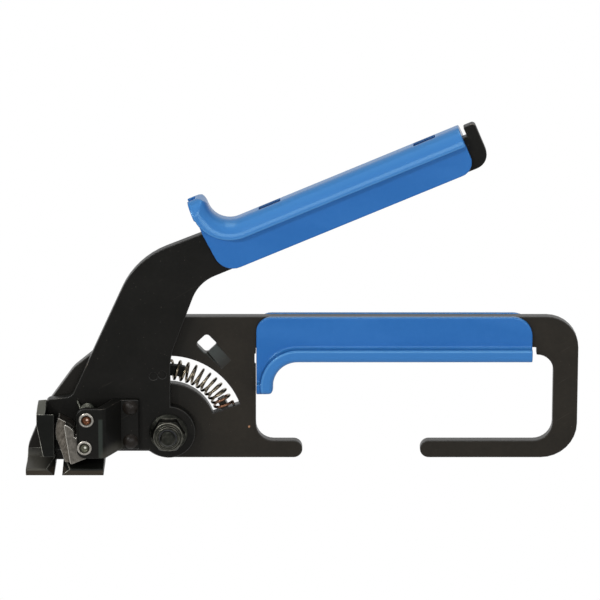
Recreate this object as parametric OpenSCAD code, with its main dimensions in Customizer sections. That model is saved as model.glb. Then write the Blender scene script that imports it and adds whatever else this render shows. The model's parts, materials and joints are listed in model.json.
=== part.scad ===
// Cable tie tensioning tool: a flat steel frame with a D-guard, a lever plate that turns on a
// bolt in front of it, a spring that opens the handles, and a jaw that grips the tie's strap.
// X runs along the tool towards the guard, Z is up, and -Y is the side that carries the lever.
// The origin is the middle of the tie slot, between the feet and on their underside.
// Every outline below is written about the pivot bolt, and place() moves it to that origin.

/* [Plates] */
// Thickness of the frame plate and of the lever plate
plate_t = 4.4; // [3.6:0.1:5]
// Gap between the two plates, filled by the thrust washer
plate_gap = 0.6; // [0.4:0.1:1]

/* [Frame plate] */
// Width of the strip between the spring's slot and the top edge
top_strip = 16.4; // [13:0.1:19]
// Depth of the bottom edge below the pivot
frame_bottom = 12.3; // [11.6:0.1:12.9]
// Distance from the pivot to the right edge of the frame's body
body_right = 35.2; // [34:0.1:38]
// Distance from the pivot to the outer edge of the guard
guard_right = 164.7; // [155:0.1:185]
// Width of the guard's upright arm
guard_arm_w = 10; // [7:0.1:13]
// Height of the guard's lower bar and of the stub that faces it
guard_bar_h = 7.1; // [5:0.1:9]
// Outer corner radius of the guard
guard_corner_r = 13; // [8:0.5:16]
// Inner corner radius of the guard
guard_inner_r = 6.5; // [2:0.5:6.5]
// Distance from the pivot to the rounded end of the stub
stub_end = 53.9; // [48:0.1:60]
// Distance from the pivot to the rounded end of the lower bar
hook_end = 101.4; // [90:0.1:115]
// Height of the bar that carries the grip
grip_bar_h = 12.8; // [11.5:0.1:14]
// Length of the shoulder between that bar and the guard's upright arm
shoulder_l = 6.8; // [6.6:0.1:10]
// Drop of the shoulder below the bar
shoulder_drop = 3.1; // [2:0.1:5]
// Depth of the nose plate below the pivot, between the feet
nose_bottom = 13.2; // [12.2:0.1:13.4]
// Distance from the pivot to the left edge of the nose
nose_left = 56.9; // [54:0.1:60]

/* [Spring slot] */
// Gap between the spring and the slot's inner edge
slot_in_gap = 0.95; // [0.5:0.05:2]
// Gap between the spring and the slot's outer edge
slot_out_gap = 2.05; // [1:0.05:3]
// Angle of the slot's right end above the horizontal
slot_end_angle = 20; // [16:1:22]
// Length of the tongue that holds the spring's end
tongue_l = 4.4; // [3:0.1:6]

/* [Square hole] */
// Side of the square hole
square_side = 6.35; // [5:0.05:7]
// Corner radius of the square hole
square_r = 1.5; // [0.5:0.1:2]
// Angle of the hole's middle round the pivot
square_angle = 66.4; // [62:0.1:70]
// Tilt of the square
square_tilt_angle = 44; // [40:1:50]
// Length of the ramp that runs into the hole
ramp_l = 8.5; // [5:0.5:10]
// Width of the ramp
ramp_w = 5.4; // [4:0.1:6]
// Depth of the ramp where it meets the hole
ramp_depth = 2.2; // [1:0.1:3]

/* [Feet] */
// Depth of the feet in front of the frame plate
foot_depth = 17.5; // [16:0.5:19]
// Distance of the feet's underside below the pivot
foot_bottom = 14.2; // [13.6:0.1:14.6]
// Height of the feet's front edge
foot_edge_h = 2.8; // [2:0.1:3]
// Width of the slot between the feet
tie_slot_w = 3.1; // [2.8:0.1:4.5]
// Distance of the slot's middle to the left of the pivot
tie_slot_x = 43.9; // [43.6:0.1:44.2]
// Distance from the pivot to the right foot's right end
foot_end = 25.7; // [24:0.1:28]
// Length of the gusset beyond the right foot
gusset_l = 4.7; // [3:0.1:5]
// Thread radius of the screws that hold the feet
foot_screw_r = 1.1; // [0.8:0.1:1.1]

/* [Lever plate] */
// Slope of the lever's handle
handle_angle = 23; // [21:0.5:25]
// Radius of the lever's boss round the pivot
boss_r = 10.8; // [9.5:0.1:11.5]
// Height of the lever's nose above the pivot
lever_nose_top = 14.9; // [14:0.1:15.5]
// Depth of the lever's lower edge below the pivot
lever_nose_bottom = 7.4; // [6.5:0.1:7.6]
// Distance along the handle from the pivot to the plate's tip
handle_l = 162; // [155:1:180]
// Distance of the handle's lower edge from the pivot
handle_low = 52.6; // [52:0.1:54]
// Height of the handle under the grip
handle_h = 13.7; // [12:0.1:14.5]
// Height of the hooked tip beyond the grip
tip_h = 17.6; // [16:0.1:18.5]
// Length of the hooked tip
tip_l = 4.8; // [4:0.1:6]

/* [Grips] */
// Thickness of the lever grip's side walls
lever_grip_wall = 2.3; // [1.5:0.1:3]
// Thickness of the frame grip's side walls
frame_grip_wall = 2; // [1.5:0.1:3]
// Width of both grips' beads
bead_w = 16; // [14:0.5:18]
// Height of the lever grip's bead
lever_bead_h = 7.2; // [6.6:0.1:8]
// Rounding of that bead's crown
lever_bead_r = 6.4; // [4:0.1:6.5]
// Height of the frame grip's bead
frame_bead_h = 5.4; // [4.6:0.1:6]
// Rounding of that bead's crown
frame_bead_r = 2.2; // [1:0.1:3]
// Thickness of both grips' horns
horn_w = 6.8; // [6.5:0.1:7.5]
// Inner radius of the lever grip's horn
lever_horn_r = 9; // [8:0.1:11]
// Straight length of the lever grip's horn
lever_horn_l = 5; // [3:0.1:9]
// Thickness of the lever grip's bead over the plate's edge
crown_t = 4.7; // [3.6:0.1:6]
// Inner radius of the frame grip's horn
frame_horn_r = 9.8; // [7:0.1:11]
// Straight length of the frame grip's horn
frame_horn_l = 3.6; // [2:0.1:6]
// Gap between the frame grip's right end and the frame's shoulder
frame_grip_gap = 1.8; // [0.5:0.1:6]
// Rise of the frame grip's walls above the frame's top edge
frame_grip_rise = 0.2; // [0:0.1:1.5]

/* [Pivot] */
// Radius of the pivot bolt
bolt_r = 3.17; // [2.9:0.01:3.6]
// Outer radius of the bush that the lever turns on
bush_r = 5; // [4.4:0.1:5.6]
// Radial clearance of a turning fit
run_fit = 0.05; // [0.02:0.01:0.08]
// Distance across the flats of the nut and the bolt's head
hex_af = 12; // [11:0.1:13]
// Radius of the nut's flange
flange_r = 7.7; // [7.6:0.1:9]

/* [Return spring] */
// Mean radius of the spring's path round the pivot
spring_path_r = 24.2; // [24:0.1:25]
// Outer radius of the spring
spring_r = 4.25; // [4.1:0.05:4.3]
// Radius of the spring's wire
spring_wire_r = 0.56; // [0.45:0.01:0.6]
// Number of curls
spring_curls = 10; // [8:1:11]

/* [Jaw and gripper] */
// Depth of the jaw in front of the lever plate
jaw_depth = 12.3; // [11:0.1:12.4]
// Thickness of the jaw's outer leg
jaw_leg_t = 3.5; // [2:0.1:4]
// Thickness of the anvil, from the end of the lever's nose to the face that meets the strap
anvil_t = 3.4; // [2.4:0.1:3.6]
// Distance of the anvil's face to the left of the tie slot's middle
anvil_shift = 1.5; // [1.4:0.1:2]
// Height of the anvil's front edge above the pivot
anvil_top = 11.3; // [10:0.1:12]
// Height of the jaw's underside below the pivot
jaw_bottom = 6.5; // [5.5:0.1:6.6]
// Thickness of the bracket's sheet
bracket_t = 2.5; // [2:0.1:3]
// Height of the bracket above the pivot
bracket_top = 14.3; // [13.5:0.1:15]
// Depth of the bracket below the pivot
bracket_bottom = 6.3; // [5.5:0.1:6.8]
// Reach of the bracket beyond the gripper's pin
bracket_lap = 3.1; // [2.9:0.1:4]
// Radius of the bracket rivets' heads
rivet_head_r = 3.15; // [2.5:0.05:3.2]
// Radius of the gripper's pin and of the stop pin
pin_r = 2; // [1.6:0.1:2.2]
// Radius of both pins' heads
pin_head_r = 3; // [2.6:0.1:3.2]
// Thickness of the toothed gripper layer
pawl_t = 7.4; // [6:0.1:8]
// Depth of the gripper's teeth
tooth_h = 0.35; // [0.2:0.05:0.5]
// Number of teeth on the gripper
teeth = 11; // [6:1:14]
// Radius of the gripper spring's wire
torsion_wire_r = 0.4; // [0.3:0.05:0.4]
// Number of curls in the gripper spring
torsion_curls = 4; // [3:1:4]

/* [Hidden] */
$fn = 64;

plate_black = [0.17, 0.165, 0.15];
lever_black = [0.11, 0.11, 0.1];
grip_blue = [0.24, 0.45, 0.73];
bright_steel = [0.72, 0.7, 0.66];
tool_steel = [0.4, 0.38, 0.35];
fastener_black = [0.16, 0.15, 0.145];
bronze = [0.62, 0.44, 0.24];

// Steps in each rounded corner, the overrun of every cut, and the play of a fixed pin in its hole
corner_steps = 8;
cut = 1;
seat_fit = 0.02;
// An outline's corner as straight as this has no arc, in half degrees
flat_angle = 89.8;

// The four planes that the plates stand on
frame_front = 0;
frame_back = plate_t;
lever_back = frame_front - plate_gap;
lever_front = lever_back - plate_t;
plate_mid = (frame_front + frame_back) / 2;
lever_mid = (lever_front + lever_back) / 2;

// The slot follows the spring, and the frame's top edge and the square hole follow the slot
slot_in_r = spring_path_r - spring_r - slot_in_gap;
slot_out_r = spring_path_r + spring_r + slot_out_gap;
frame_top = slot_out_r + top_strip;
square_out_share = 0.5;
square_at = (slot_out_r + square_out_share * top_strip) * [cos(square_angle), sin(square_angle)];

// Frame outline: corners that no other size gives
back_top_x = -12;
back_corner = [-38, 25.6];
back_corner_r = 15;
nose_corner = [-50.7, 7.9];
nose_corner_r = 20;
nose_cheek_z = -7.4;
nose_cheek_r = 8;
small_r = 0.6;
belly_z = -9.6;
boss_back_r = 12.5;
gusset_low_z = -10.2;
stub_fillet_r = 7.2;
guard_low_r = 14.5;
guard_inner_low_r = 7.8;
bar_bottom = frame_top - grip_bar_h;
guard_inner_x = guard_right - guard_arm_w;
shoulder_w = guard_inner_x - shoulder_l;
heel_clear = 0.3;
heel_z = heel_clear - foot_bottom;
bar_top = guard_bar_h - frame_bottom;
relief_depth = 0.5;
relief_low = 26.4;
relief_high = 31.4;

// Feet
slot_left_x = -tie_slot_x - tie_slot_w / 2;
slot_right_x = -tie_slot_x + tie_slot_w / 2;
foot_play = 0.6;
foot_top_z = -lever_nose_bottom - foot_play;
foot_edge_z = foot_edge_h - foot_bottom;
cove_depth = 3;
cove_fall_share = 0.74;
cove_z = foot_top_z + cove_fall_share * (foot_edge_z - foot_top_z);
cove_r = 5;
lead_w = 3.1;
lead_l = 11.5;
foot_screw_head_r = 1.8;
foot_screw_head_h = 1.2;
foot_screw_l = 8.4;
foot_screw_rise = 2.6;
foot_screw_z = foot_screw_rise - foot_bottom;
foot_screw_left_x = (slot_left_x - nose_left) / 2;
foot_screw_right_x = [slot_right_x + 2 * foot_screw_head_r, -foot_end - 2 * foot_screw_head_r];
foot_screw_key = 0.9;
foot_screw_key_h = 0.7;

// Lever outline: corners that no other size gives
throat = [0.9, 31.5];
throat_low_z = 12;
throat_r = 30;
crotch_r = 16;
neck_slope = 69.4;
brow = [-12.5, 72];
brow_r = 33;
brow_slope = 65.4;
nose_fillet_r = 4;
nose_fall = 1.1;
nose_lip = [1, 0.9];
shoulder_u = 60;
shoulder_step = 3.9;
shoulder_v = handle_low + handle_h + shoulder_step;
tip_corner_r = 6;
notch_w = 1.7;
handle_top = handle_low + handle_h;
tip_u = handle_l - tip_l;
tip_top = handle_low + tip_h;

// Grips, in the handle's own frame for the lever grip
lever_grip_lap = 0.15;
lever_grip_low = handle_low - lever_grip_lap;
lever_crown = handle_top + crown_t;
lever_grip_left = 45.4;
lever_grip_right = tip_u - notch_w;
lever_horn_u = lever_grip_left + horn_w + lever_horn_r;
lever_cap_rise = 0.5;
lever_cap_lap = 2.2;
lever_cap_r = 4.4;
grip_lean = 1.4;
horn_lean = 0.3;
wall_corner_r = 8;
grip_end_r = 6;
crown_end_r = 1.5;
bead_low_r = 0.8;
window_l = 9.1;
window_w = 4;
window_depth = 2.4;
// Places of the two slots along the bead, as shares of its length from the horn
window_shares = [0.14, 0.845];
horn_window = [3.3, 4];
frame_grip_top = frame_top + frame_grip_rise;
frame_bead_rise = 0.3;
frame_bead_top = bar_bottom + frame_bead_rise;
frame_crown = frame_bead_top - frame_bead_h;
frame_cap_lap = 0.9;
frame_cap_r = 2.6;
frame_grip_inset = 0.2;
frame_grip_left = body_right + frame_grip_inset;
frame_grip_right = shoulder_w - frame_grip_gap;
frame_wall_r = [6, 8];
frame_horn_x = frame_grip_left + horn_w + frame_horn_r;

// Pivot
washer_t = 1;
washer_r = 8.2;
bush_play = 0.1;
bolt_out = 10;
nut_h = 6.4;
nut_flange_h = 1.6;
insert_h = 1.9;
head_h = 4.2;
head_flange_h = 1.5;
thread_chamfer = 0.7;
collar_t = 1.45;
collar_r = bolt_r + collar_t;
collar_wall = 0.5;
// The hexagon's turned corners and face, as shares of half its width
hex_corner_share = 1.12;
hex_face_share = 0.96;
nut_face = lever_front - bush_play;

// Return spring: angles round the pivot
post_face_angle = 90.6;
post_l = 7.6;
slot_play = 0.3;
post_clear = 0.5;
tab_l = 6.6;
// The tab's and the tongue's section, as shares of the spring's inner radius
tab_share = [0.7, 1.46];
tongue_share = [1.4, 0.96];
spring_lead = 2 * spring_wire_r;
coil_r = spring_r - spring_wire_r;
coil_in_r = spring_r - 2 * spring_wire_r;
tab_t = tab_share[0] * coil_in_r;
tab_w = tab_share[1] * coil_in_r;
tongue_t = tongue_share[0] * coil_in_r;
tongue_w = tongue_share[1] * coil_in_r;
arc_deg = 180 / PI;
post_back_a = post_face_angle + post_l / spring_path_r * arc_deg;
slot_start_a = post_back_a + slot_play / slot_in_r * arc_deg;
spring_seat_play = 0.15;
seat_hi_a = post_face_angle - spring_seat_play / spring_path_r * arc_deg;
seat_lo_a = slot_end_angle + spring_seat_play / spring_path_r * arc_deg;
coil_hi_a = seat_hi_a - spring_lead / spring_path_r * arc_deg;
coil_lo_a = seat_lo_a + spring_lead / spring_path_r * arc_deg;
// Share by which the first curl's pitch is longer than the mean one
pitch_swing_share = 0.14;
curl_rings = 8;
wire_sides = 6;
post_rivet_r = 1.5;
// Places of the two rivets along the post, as shares of its length
post_rivet_shares = [0.27, 0.74];
function post_rivet(share) =
    polar(spring_path_r, post_face_angle + share * (post_back_a - post_face_angle));

// Jaw
anvil_x = tie_slot_x + anvil_shift;
lever_nose_left = anvil_x + anvil_t;
jaw_left = lever_nose_left + jaw_leg_t;
jaw_front = lever_front - jaw_depth;
leg_rise = 2.5;
leg_back_z = anvil_top + leg_rise;
leg_back_fall = 1.8;
leg_side_fall = 1.3;
leg_bend_drop = 4.6;
leg_bend_z = anvil_top - leg_bend_drop;
leg_foot_t = 1;
leg_foot_x = lever_nose_left + leg_foot_t;
anvil_fall = 4.2;
anvil_play = 0.2;
jaw_screw_r = 1;
jaw_screw_head_r = 1.55;
jaw_screw_head_h = 1.6;
jaw_screw_l = 8;
jaw_screw_x = -(lever_nose_left + anvil_x) / 2;
jaw_screw_at = [[jaw_screw_x, 2.6], [jaw_screw_x, -3.4]];

// Bracket and pins
flange_right = 11.7;
flange_left = 20.1;
web_gap = 6.9;
bracket_front = jaw_front - anvil_play - bracket_t;
bracket_back = bracket_front + bracket_t;
bend_r = 0.4;
bracket_corner_r = 3.4;
rivet_r = 2;
rivet_dome_h = 1.5;
rivet_drop = 3.2;
rivet_inset = 3.5;
rivet_x = -flange_right - rivet_inset;
rivet_at = [[rivet_x, bracket_top - rivet_drop], [rivet_x, rivet_drop - bracket_bottom]];
stop_run = 11.7;
stop_drop = 4.4;
stop_at = [stop_run - tie_slot_x, bracket_top - stop_drop];
pin_run = 10.8;
pin_rise = 4.6;
pin_at = [pin_run - tie_slot_x, pin_rise - bracket_bottom];
bracket_left = bracket_lap - pin_at[0];
web_left = -pin_at[0] - web_gap;
pin_head_h = 0.9;
pin_cup_r = 1.8;
pin_cup_h = 0.6;

// Gripper
pawl_play = 0.4;
pawl_back = lever_front - pawl_play;
pawl_front = pawl_back - pawl_t;
cheek_play = 0.5;
cheek_front = bracket_back + cheek_play;
cam_r = 14.3;
jaw_gap = 0.3;
cam_mid_z = 2.6;
cam_mid = [jaw_gap + cam_r - anvil_x, cam_mid_z];
cam_top_angle = 156;
cam_low_angle = 194;
// The gripper's corners, to the right of the tie slot's middle and above the foot
tip_play = 0.4;
pawl_tip_z = cove_z + tip_play;
pawl_tip_w = 1.7;
pawl_tip = [2.6 - tie_slot_x, pawl_tip_z];
pawl_back_x = 6.4 - tie_slot_x;
pawl_back_z = [2, 4.5];
pawl_crest = [4.9 - tie_slot_x, 5.8];
pawl_heel = [5.7 - tie_slot_x, 1.3 + pawl_tip_z];
cheek_r = 1;
cheek_top = [2.4 - tie_slot_x, 7.4];
cheek_toe = [4.9 - tie_slot_x, 0.2 + pawl_tip_z];
cheek_heel = [11.9 - tie_slot_x, 3.1 + pawl_tip_z];
gripper_bush_t = 1;
gripper_bush_r = pin_r + gripper_bush_t;
pin_boss_t = 1.7;
pin_boss_r = gripper_bush_r + pin_boss_t;
dowel_r = 0.9;
dowel_cover = 0.8;
dowel_at = [[4.2 - tie_slot_x, 3.4], [5.8 - tie_slot_x, 3.4 + pawl_tip_z]];

// Gripper spring
torsion_play = 0.3;
torsion_r = pin_r + torsion_wire_r + torsion_play;
torsion_gap = 0.5;
torsion_y = lever_front - 1.4;
torsion_anchor = [7.5 - tie_slot_x, 13.3];
torsion_push = [pawl_back_x + torsion_wire_r + torsion_play, 3.4];
anchor_depth = 2;

function unit(v) = v / norm(v);
function flat(p) = [p[0], p[1]];
function wrap(a) = a > 180 ? a - 360 : a < -180 ? a + 360 : a;
function polar(r, a) = r * [cos(a), sin(a)];
function handle_point(u, v) = [u * cos(handle_angle) - v * sin(handle_angle), u * sin(handle_angle) + v * cos(handle_angle)];

// One corner of an outline as an arc; its radius gives way where an edge is too short
function corner(a, b, c) =
    let (p = flat(b), to_a = flat(a) - p, to_c = flat(c) - p)
    let (half = acos(max(-1, min(1, unit(to_a) * unit(to_c)))) / 2)
    let (r = min(b[2], 0.499 * min(norm(to_a), norm(to_c)) * tan(half)))
    r <= 0 || half > flat_angle ? [p] :
    let (mid = p + unit(unit(to_a) + unit(to_c)) * r / sin(half))
    let (s = p + unit(to_a) * r / tan(half) - mid, e = p + unit(to_c) * r / tan(half) - mid)
    let (a0 = atan2(s[1], s[0]), turn = wrap(atan2(e[1], e[0]) - a0))
    [for (k = [0 : corner_steps]) mid + polar(r, a0 + turn * k / corner_steps)];

// An outline of [x, z, radius] points with every corner rounded
function rounded(pts) =
    [for (i = [0 : len(pts) - 1])
        each corner(pts[(i + len(pts) - 1) % len(pts)], pts[i], pts[(i + 1) % len(pts)])];

module outline(pts) {
    polygon(rounded(pts));
}

// An X-Z outline made solid between two depths
module between(front, back) {
    translate([0, back, 0])
        rotate([90, 0, 0])
            linear_extrude(back - front)
                children();
}

// A round bar along Y through the X-Z point at
module rod(at, r, front, back) {
    translate([at[0], back, at[1]])
        rotate([90, 0, 0])
            cylinder(h = back - front, r = r);
}

// A turned piece along Y from a [radius, depth] outline, its depths measured to the front
module turned(at, back) {
    translate([at[0], back, at[1]])
        rotate([90, 0, 0])
            rotate_extrude()
                children();
}

// Everything on the far side of a plane through p with normal n
module beyond(p, n, size) {
    translate(p)
        rotate([0, acos(n[2] / norm(n)), atan2(n[1], n[0])])
            translate([-size / 2, -size / 2, 0])
                cube(size);
}

// Part of a flat ring round the pivot, between two angles
module arc_band(r_in, r_out, a0, a1) {
    reach = 2 * r_out;
    steps = 6;
    intersection() {
        difference() {
            circle(r = r_out, $fn = 128);
            circle(r = r_in, $fn = 128);
        }
        polygon([[0, 0], for (k = [0 : steps]) polar(reach, a0 + (a1 - a0) * k / steps)]);
    }
}

module place() {
    translate([tie_slot_x, foot_depth / 2, foot_bottom])
        children();
}

module handle() {
    rotate([0, -handle_angle, 0])
        children();
}

// A tube of six sides round a chain of points; no point may lie on the last one
function ring_at(p, t, n, r) =
    [for (k = [0 : wire_sides - 1])
        p + r * cos(360 * k / wire_sides) * n + r * sin(360 * k / wire_sides) * cross(t, n)];
function heading(path, i) = unit(path[min(i + 1, len(path) - 1)] - path[max(i - 1, 0)]);
// The side direction of each ring, carried along the path so that the tube doesn't twist
function carried(path, i, n) =
    let (t = heading(path, i))
    let (m = unit(n - (n * t) * t))
    i == len(path) - 1 ? [m] : concat([m], carried(path, i + 1, m));
module tube(path, r, first_side) {
    sides = carried(path, 0, first_side);
    rings = [for (i = [0 : len(path) - 1]) each ring_at(path[i], heading(path, i), sides[i], r)];
    last = (len(path) - 1) * wire_sides;
    walls = [for (i = [0 : len(path) - 2], k = [0 : wire_sides - 1])
        let (a = i * wire_sides + k, b = i * wire_sides + (k + 1) % wire_sides)
        each [[a, a + wire_sides, b], [b, a + wire_sides, b + wire_sides]]];
    start = [for (k = [1 : wire_sides - 2]) [0, k, k + 1]];
    end = [for (k = [1 : wire_sides - 2]) [last, last + k + 1, last + k]];
    polyhedron(points = rings, faces = concat(walls, start, end));
}

// Least distance between rings that are at least half a curl apart, less the wire
function least_gap(path, r) =
    min([for (i = [0 : len(path) - 1], j = [i + curl_rings / 2 : len(path) - 1])
        norm(path[j] - path[i])]) - 2 * r;

// Return spring: the angle round the pivot after a share s of the curls
function spring_angle(s) =
    coil_hi_a + (coil_lo_a - coil_hi_a) * (s * (1 + pitch_swing_share) - pitch_swing_share * s * s);
function spring_point(a, out, side) =
    [(spring_path_r + out) * cos(a), plate_mid + side, (spring_path_r + out) * sin(a)];
function spring_path() =
    let (count = spring_curls * curl_rings)
    concat(
        [spring_point(seat_hi_a, coil_r, 0)],
        [for (i = [0 : count])
            let (turn = 360 * i / curl_rings)
            spring_point(spring_angle(i / count), coil_r * cos(turn), coil_r * sin(turn))],
        [spring_point(seat_lo_a, coil_r, 0)]);

// Gripper spring: two legs that leave the curls along tangents
function leg_angle(to) =
    let (d = to - stop_at)
    atan2(d[1], d[0]);
torsion_a0 = wrap(leg_angle(torsion_anchor) + acos(torsion_r / norm(torsion_anchor - stop_at)));
torsion_a1 = leg_angle(torsion_push) - acos(torsion_r / norm(torsion_push - stop_at));
function torsion_turn() =
    let (lap = torsion_a1 - torsion_a0)
    360 * torsion_curls + lap - 360 * ceil(lap / 360);
torsion_pitch = 2 * torsion_wire_r + torsion_gap;
function torsion_path() =
    let (turn = torsion_turn(), count = round(turn / 360 * curl_rings))
    let (drop = torsion_pitch * turn / 360)
    concat(
        [[torsion_anchor[0], lever_front + anchor_depth, torsion_anchor[1]],
         [torsion_anchor[0], torsion_y + torsion_wire_r, torsion_anchor[1]],
         [torsion_anchor[0], torsion_y, torsion_anchor[1]]
             + torsion_wire_r * unit([stop_at[0] - torsion_anchor[0], 0, stop_at[1] - torsion_anchor[1]])],
        [for (i = [0 : count])
            let (p = stop_at + polar(torsion_r, torsion_a0 + turn * i / count))
            [p[0], torsion_y - drop * i / count, p[1]]],
        [[torsion_push[0], torsion_y - drop, torsion_push[1]]]);

echo("least gap in the return spring", least_gap(spring_path(), spring_wire_r));
echo("least gap in the gripper spring", least_gap(torsion_path(), torsion_wire_r));

// Frame

module frame_outline() {
    difference() {
        union() {
            outline([
                [back_top_x, frame_top, guard_corner_r],
                [back_corner[0], back_corner[1], back_corner_r],
                [nose_corner[0], nose_corner[1], nose_corner_r],
                [-nose_left, nose_cheek_z, nose_cheek_r],
                [-nose_left, heel_z, small_r],
                [slot_left_x, heel_z, 0],
                [slot_left_x, -nose_bottom, 0],
                [slot_right_x, -nose_bottom, 0],
                [slot_right_x, heel_z, 0],
                [-foot_end, heel_z, 0],
                [-foot_end, gusset_low_z, 0],
                [gusset_l - foot_end, belly_z, 0],
                [0, belly_z, 0],
                [0, -frame_bottom, 0],
                [guard_right, -frame_bottom, guard_low_r],
                [guard_right, frame_top, guard_corner_r]]);
            circle(r = boss_back_r, $fn = 128);
        }
        finger_window();
        guard_mouth();
        translate([body_right - relief_depth, relief_low])
            square([relief_depth + cut, relief_high - relief_low]);
    }
    stub_mid = bar_top - guard_bar_h / 2;
    translate([stub_end - guard_bar_h / 2, stub_mid])
        circle(d = guard_bar_h);
    translate([hook_end + guard_bar_h / 2, stub_mid])
        circle(d = guard_bar_h);
}

// The finger's window reaches up beside the shoulder, under the bar that carries the grip
module finger_window() {
    shoulder_z = bar_bottom - shoulder_drop;
    outline([
        [body_right, bar_top, stub_fillet_r],
        [body_right, shoulder_z, 0],
        [guard_inner_x, shoulder_z, guard_inner_r],
        [guard_inner_x, bar_top, guard_inner_low_r]]);
    outline([
        [body_right, shoulder_z - cut, 0],
        [body_right, bar_bottom, small_r],
        [shoulder_w, bar_bottom, small_r],
        [shoulder_w, shoulder_z - cut, 0]]);
}

module guard_mouth() {
    mouth_left = stub_end - guard_bar_h / 2;
    mouth_right = hook_end + guard_bar_h / 2;
    translate([mouth_left, -frame_bottom - cut])
        square([mouth_right - mouth_left, guard_bar_h + 2 * cut]);
}

module spring_slot() {
    arc_band(slot_in_r, slot_out_r, slot_end_angle, slot_start_a);
}

// The tongue stands from the slot's right end into the spring
module spring_tongue() {
    tongue_a = tongue_l / spring_path_r * arc_deg;
    between(plate_mid - tongue_t / 2, plate_mid + tongue_t / 2)
        arc_band(spring_path_r - tongue_w / 2, spring_path_r + tongue_w / 2,
            slot_end_angle - 1, slot_end_angle + tongue_a);
}

module square_hole() {
    s = square_side / 2;
    translate(square_at)
        rotate(square_tilt_angle)
            outline([[s, s, square_r], [-s, s, square_r], [-s, -s, square_r], [s, -s, square_r]]);
}

// The ramp starts deep at the hole's lower right side and runs out on the plate's face
module square_ramp() {
    slope = atan(ramp_depth / ramp_l);
    run = ramp_l + square_side / 2;
    translate([square_at[0], frame_front, square_at[1]])
        rotate([0, 90 - square_tilt_angle, 0])
            translate([run, 0, 0])
                rotate([0, 0, -slope])
                    translate([-run, -2 * ramp_depth, -ramp_w / 2])
                        cube([run, 2 * ramp_depth, ramp_w]);
}

module frame_plate() {
    color(plate_black) {
        spring_tongue();
        frame_blank();
    }
}

module frame_blank() {
    difference() {
        between(frame_front, frame_back)
            difference() {
                frame_outline();
                spring_slot();
                square_hole();
            }
        square_ramp();
        rod([0, 0], bolt_r + seat_fit, frame_front - cut, frame_back + cut);
        for (x = concat([foot_screw_left_x], foot_screw_right_x))
            rod([x, foot_screw_z], foot_screw_r + seat_fit, frame_front - cut, frame_back + cut);
    }
}

// The profile of a foot, in depth and height: a low front edge, a shallow top and a cove
module foot_profile() {
    polygon(rounded([
        [frame_front, -foot_bottom, 0],
        [frame_front, foot_top_z, 0],
        [-cove_depth, cove_z, cove_r],
        [-foot_depth, foot_edge_z, small_r],
        [-foot_depth, -foot_bottom, small_r / 2]]));
}

module foot_bar(x0, x1) {
    translate([x0, 0, 0])
        rotate([90, 0, 90])
            linear_extrude(x1 - x0)
                foot_profile();
}

// A sloping lead-in cut off the front corner beside the slot; way is 1 for the right foot
module lead_in(x, way) {
    low = [x, -foot_depth, -foot_bottom];
    along = [way * lead_w, 0, foot_edge_h];
    back = [0, lead_l, foot_edge_h];
    normal = cross(along, back);
    beyond(low, (normal[2] > 0 ? 1 : -1) * normal, 2 * foot_depth);
}

module foot_hole(x) {
    rod([x, foot_screw_z], foot_screw_r + seat_fit, frame_back - foot_screw_l - seat_fit, frame_front + cut);
}

module foot_left() {
    color(plate_black)
    difference() {
        foot_bar(-nose_left, slot_left_x);
        lead_in(slot_left_x, -1);
        foot_hole(foot_screw_left_x);
    }
}

module foot_right() {
    color(plate_black)
    difference() {
        union() {
            foot_bar(slot_right_x, -foot_end);
            foot_gusset();
        }
        lead_in(slot_right_x, 1);
        for (x = foot_screw_right_x)
            foot_hole(x);
    }
}

// The three-sided flare between the right foot's end and the frame's lower edge
module foot_gusset() {
    hull() {
        translate([-foot_end - small_r, lever_front, gusset_low_z])
            cube([small_r, -lever_front, foot_top_z - plate_gap - gusset_low_z]);
        translate([gusset_l - foot_end - small_r, frame_front - small_r, belly_z])
            cube([small_r, small_r, small_r]);
    }
}

module foot_screws() {
    color(fastener_black)
    for (x = concat([foot_screw_left_x], foot_screw_right_x))
        difference() {
            turned([x, foot_screw_z], frame_back + foot_screw_head_h)
                polygon(rounded([
                    [0, 0, 0],
                    [foot_screw_head_r, 0, foot_screw_head_h / 3],
                    [foot_screw_head_r, foot_screw_head_h, 0],
                    [foot_screw_r, foot_screw_head_h, 0],
                    [foot_screw_r, foot_screw_head_h + foot_screw_l, 0],
                    [0, foot_screw_head_h + foot_screw_l, 0]]));
            translate([x, frame_back + foot_screw_head_h, foot_screw_z])
                rotate([90, 0, 0])
                    cylinder(h = foot_screw_key_h, r = foot_screw_key, $fn = 6);
        }
}

// A grip's bead section across the plate, from its inner side to its crown h away
module bead_section(inner, h, r) {
    way = h > 0 ? 1 : -1;
    intersection() {
        hull()
            for (side = [-1, 1]) {
                translate([side * (bead_w / 2 - bead_low_r), inner + way * bead_low_r])
                    circle(r = bead_low_r, $fn = 32);
                translate([side * (bead_w / 2 - r), inner + h - way * r])
                    circle(r = r);
            }
        translate([-bead_w / 2, min(inner, inner + h)])
            square([bead_w, abs(h)]);
    }
}

// The bead along a straight stretch of X
module bead_run(x0, x1, y, inner, h, r) {
    translate([x0, y, 0])
        rotate([90, 0, 90])
            linear_extrude(x1 - x0)
                bead_section(inner, h, r);
}

// The bead's quarter turn round the horn's inner radius, from the angle a0
module bead_turn(x, y, z, horn_r, h, r, a0) {
    translate([x, y, z])
        rotate([90, 0, 0])
            rotate([0, 0, a0])
                rotate_extrude(angle = 90, $fn = 96)
                    mirror([1, -1, 0])
                        bead_section(horn_r + h, -h, r);
}

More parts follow.
